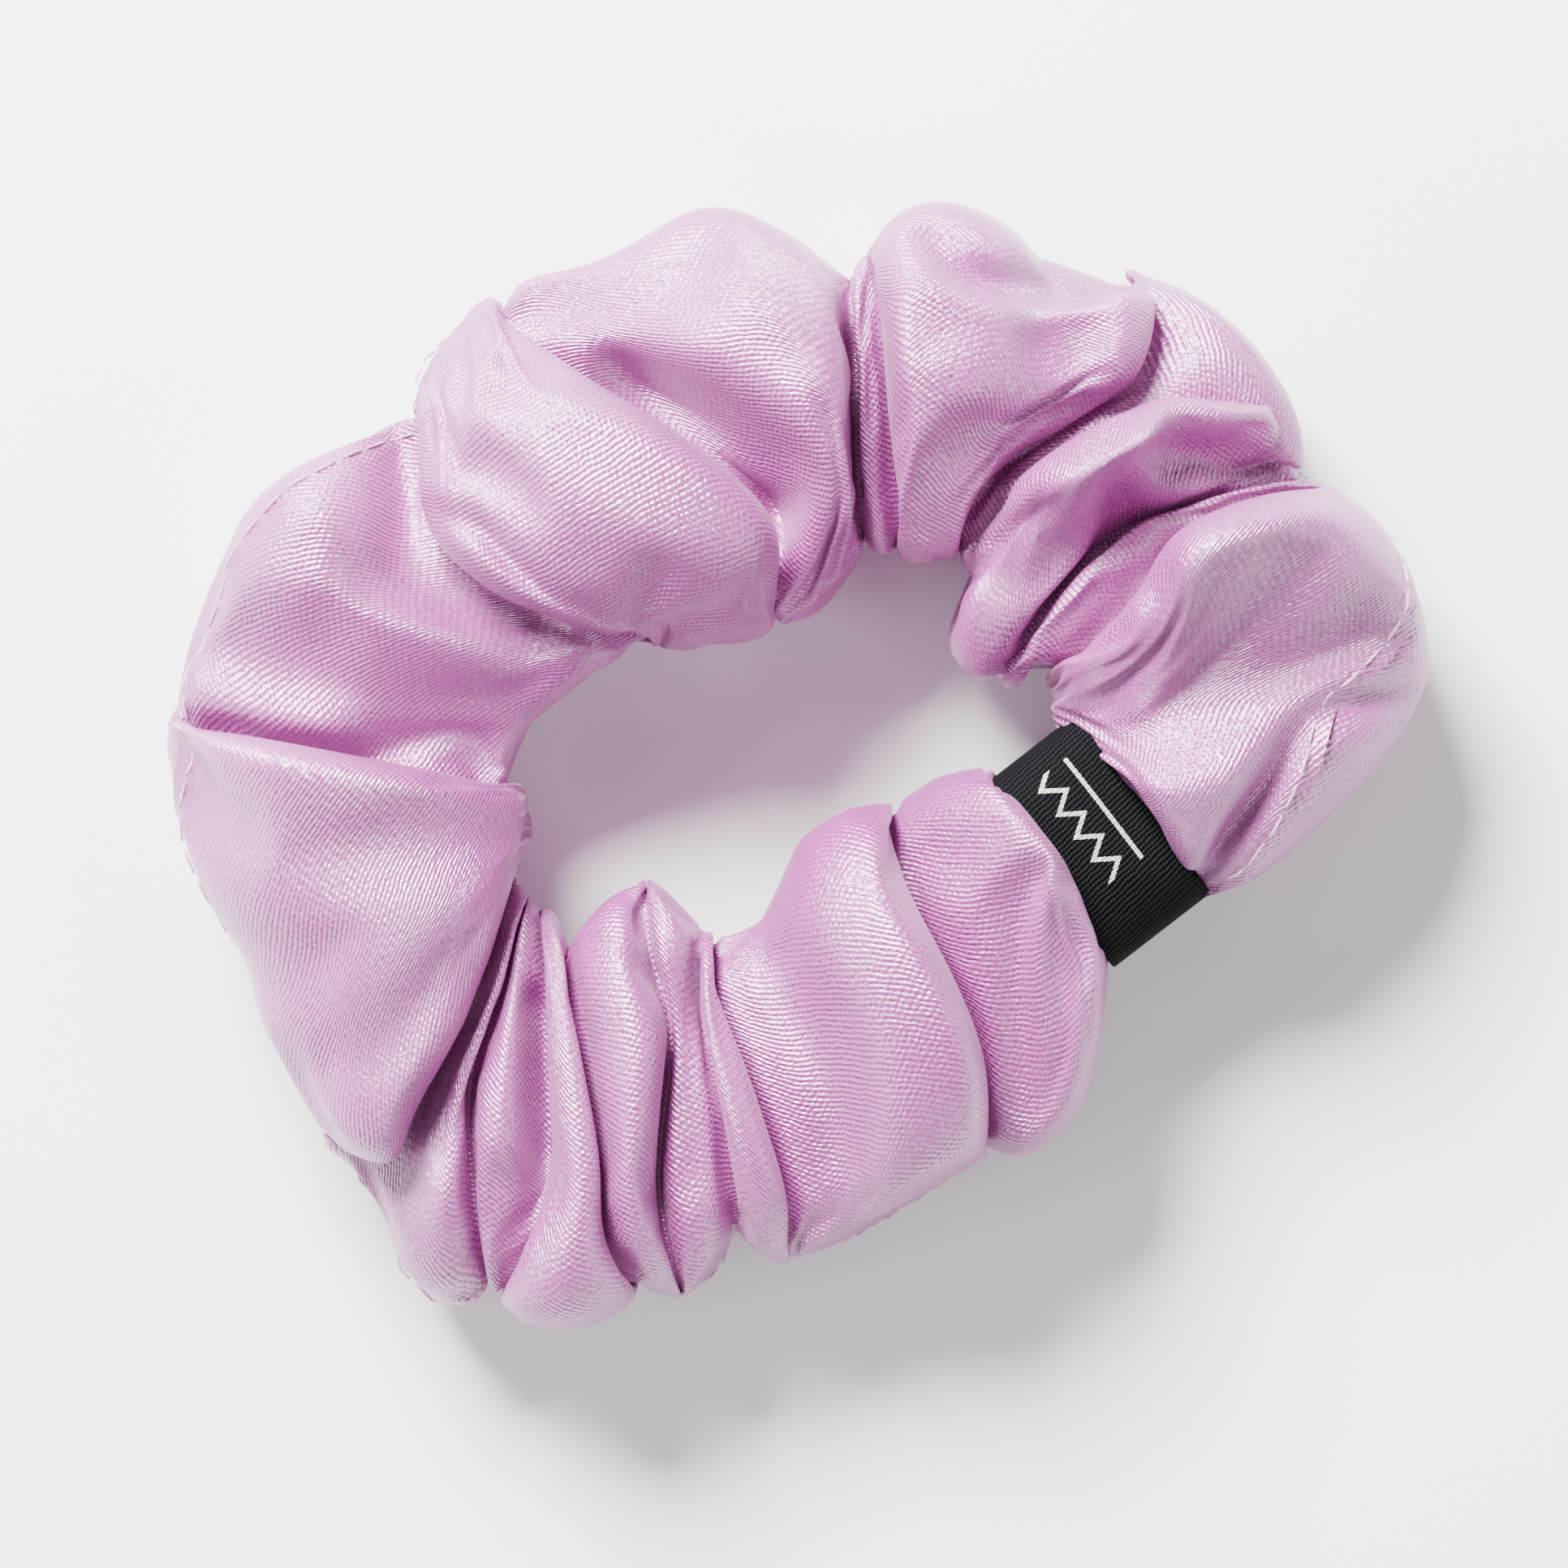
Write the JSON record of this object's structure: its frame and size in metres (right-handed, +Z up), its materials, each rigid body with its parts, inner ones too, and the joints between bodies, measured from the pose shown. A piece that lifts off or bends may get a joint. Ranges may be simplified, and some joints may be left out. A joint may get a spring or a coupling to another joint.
{
  "type": "scrunchie",
  "caption": "Gathered satin hair scrunchie: a puckered cloth tube round a sewn elastic loop, closed under a woven label band.",
  "frame": {"origin": "centre of the footprint, on the surface that the scrunchie lies on", "axes": "+Z up from the surface; +X along the ring's long side, from the left half to the label's half; +Y across it"},
  "size_m": [0.104, 0.0936, 0.0278],
  "materials": {
    "satin": "lilac pink satin, soft broad sheen",
    "seam_thread": "pale pink spun polyester thread",
    "elastic_yarn": "white braided polyester yarn",
    "rubber": "natural latex strand",
    "label": "black woven ribbon with a cream woven motif",
    "label_thread": "black sewing thread"
  },
  "bodies": {
    "left_half": {"satin_cover_left": "satin", "long_seam_thread_left": "seam_thread", "elastic_braid": "elastic_yarn", "rubber_strand_1": "rubber", "rubber_strand_2": "rubber", "rubber_strand_3": "rubber", "rubber_strand_4": "rubber", "elastic_lap_stitches_1": "seam_thread", "elastic_lap_stitches_2": "seam_thread"},
    "right_half": {"satin_cover_upper_right": "satin", "satin_cover_lower_right": "satin", "long_seam_thread_upper_right": "seam_thread", "long_seam_thread_lower_right": "seam_thread", "closing_seam_thread": "seam_thread", "woven_label": "label", "label_lap_stitches_1": "label_thread", "label_lap_stitches_2": "label_thread"}
  },
  "joints": [
    {"name": "stretch", "type": "slide", "parent": "left_half", "child": "right_half", "axis": [1, 0, 0], "range_m": [0, 0.06], "stiffness_N_per_m": 120, "deforming": ["elastic_braid", "rubber_strand_1", "rubber_strand_2", "rubber_strand_3", "rubber_strand_4"]}
  ]
}
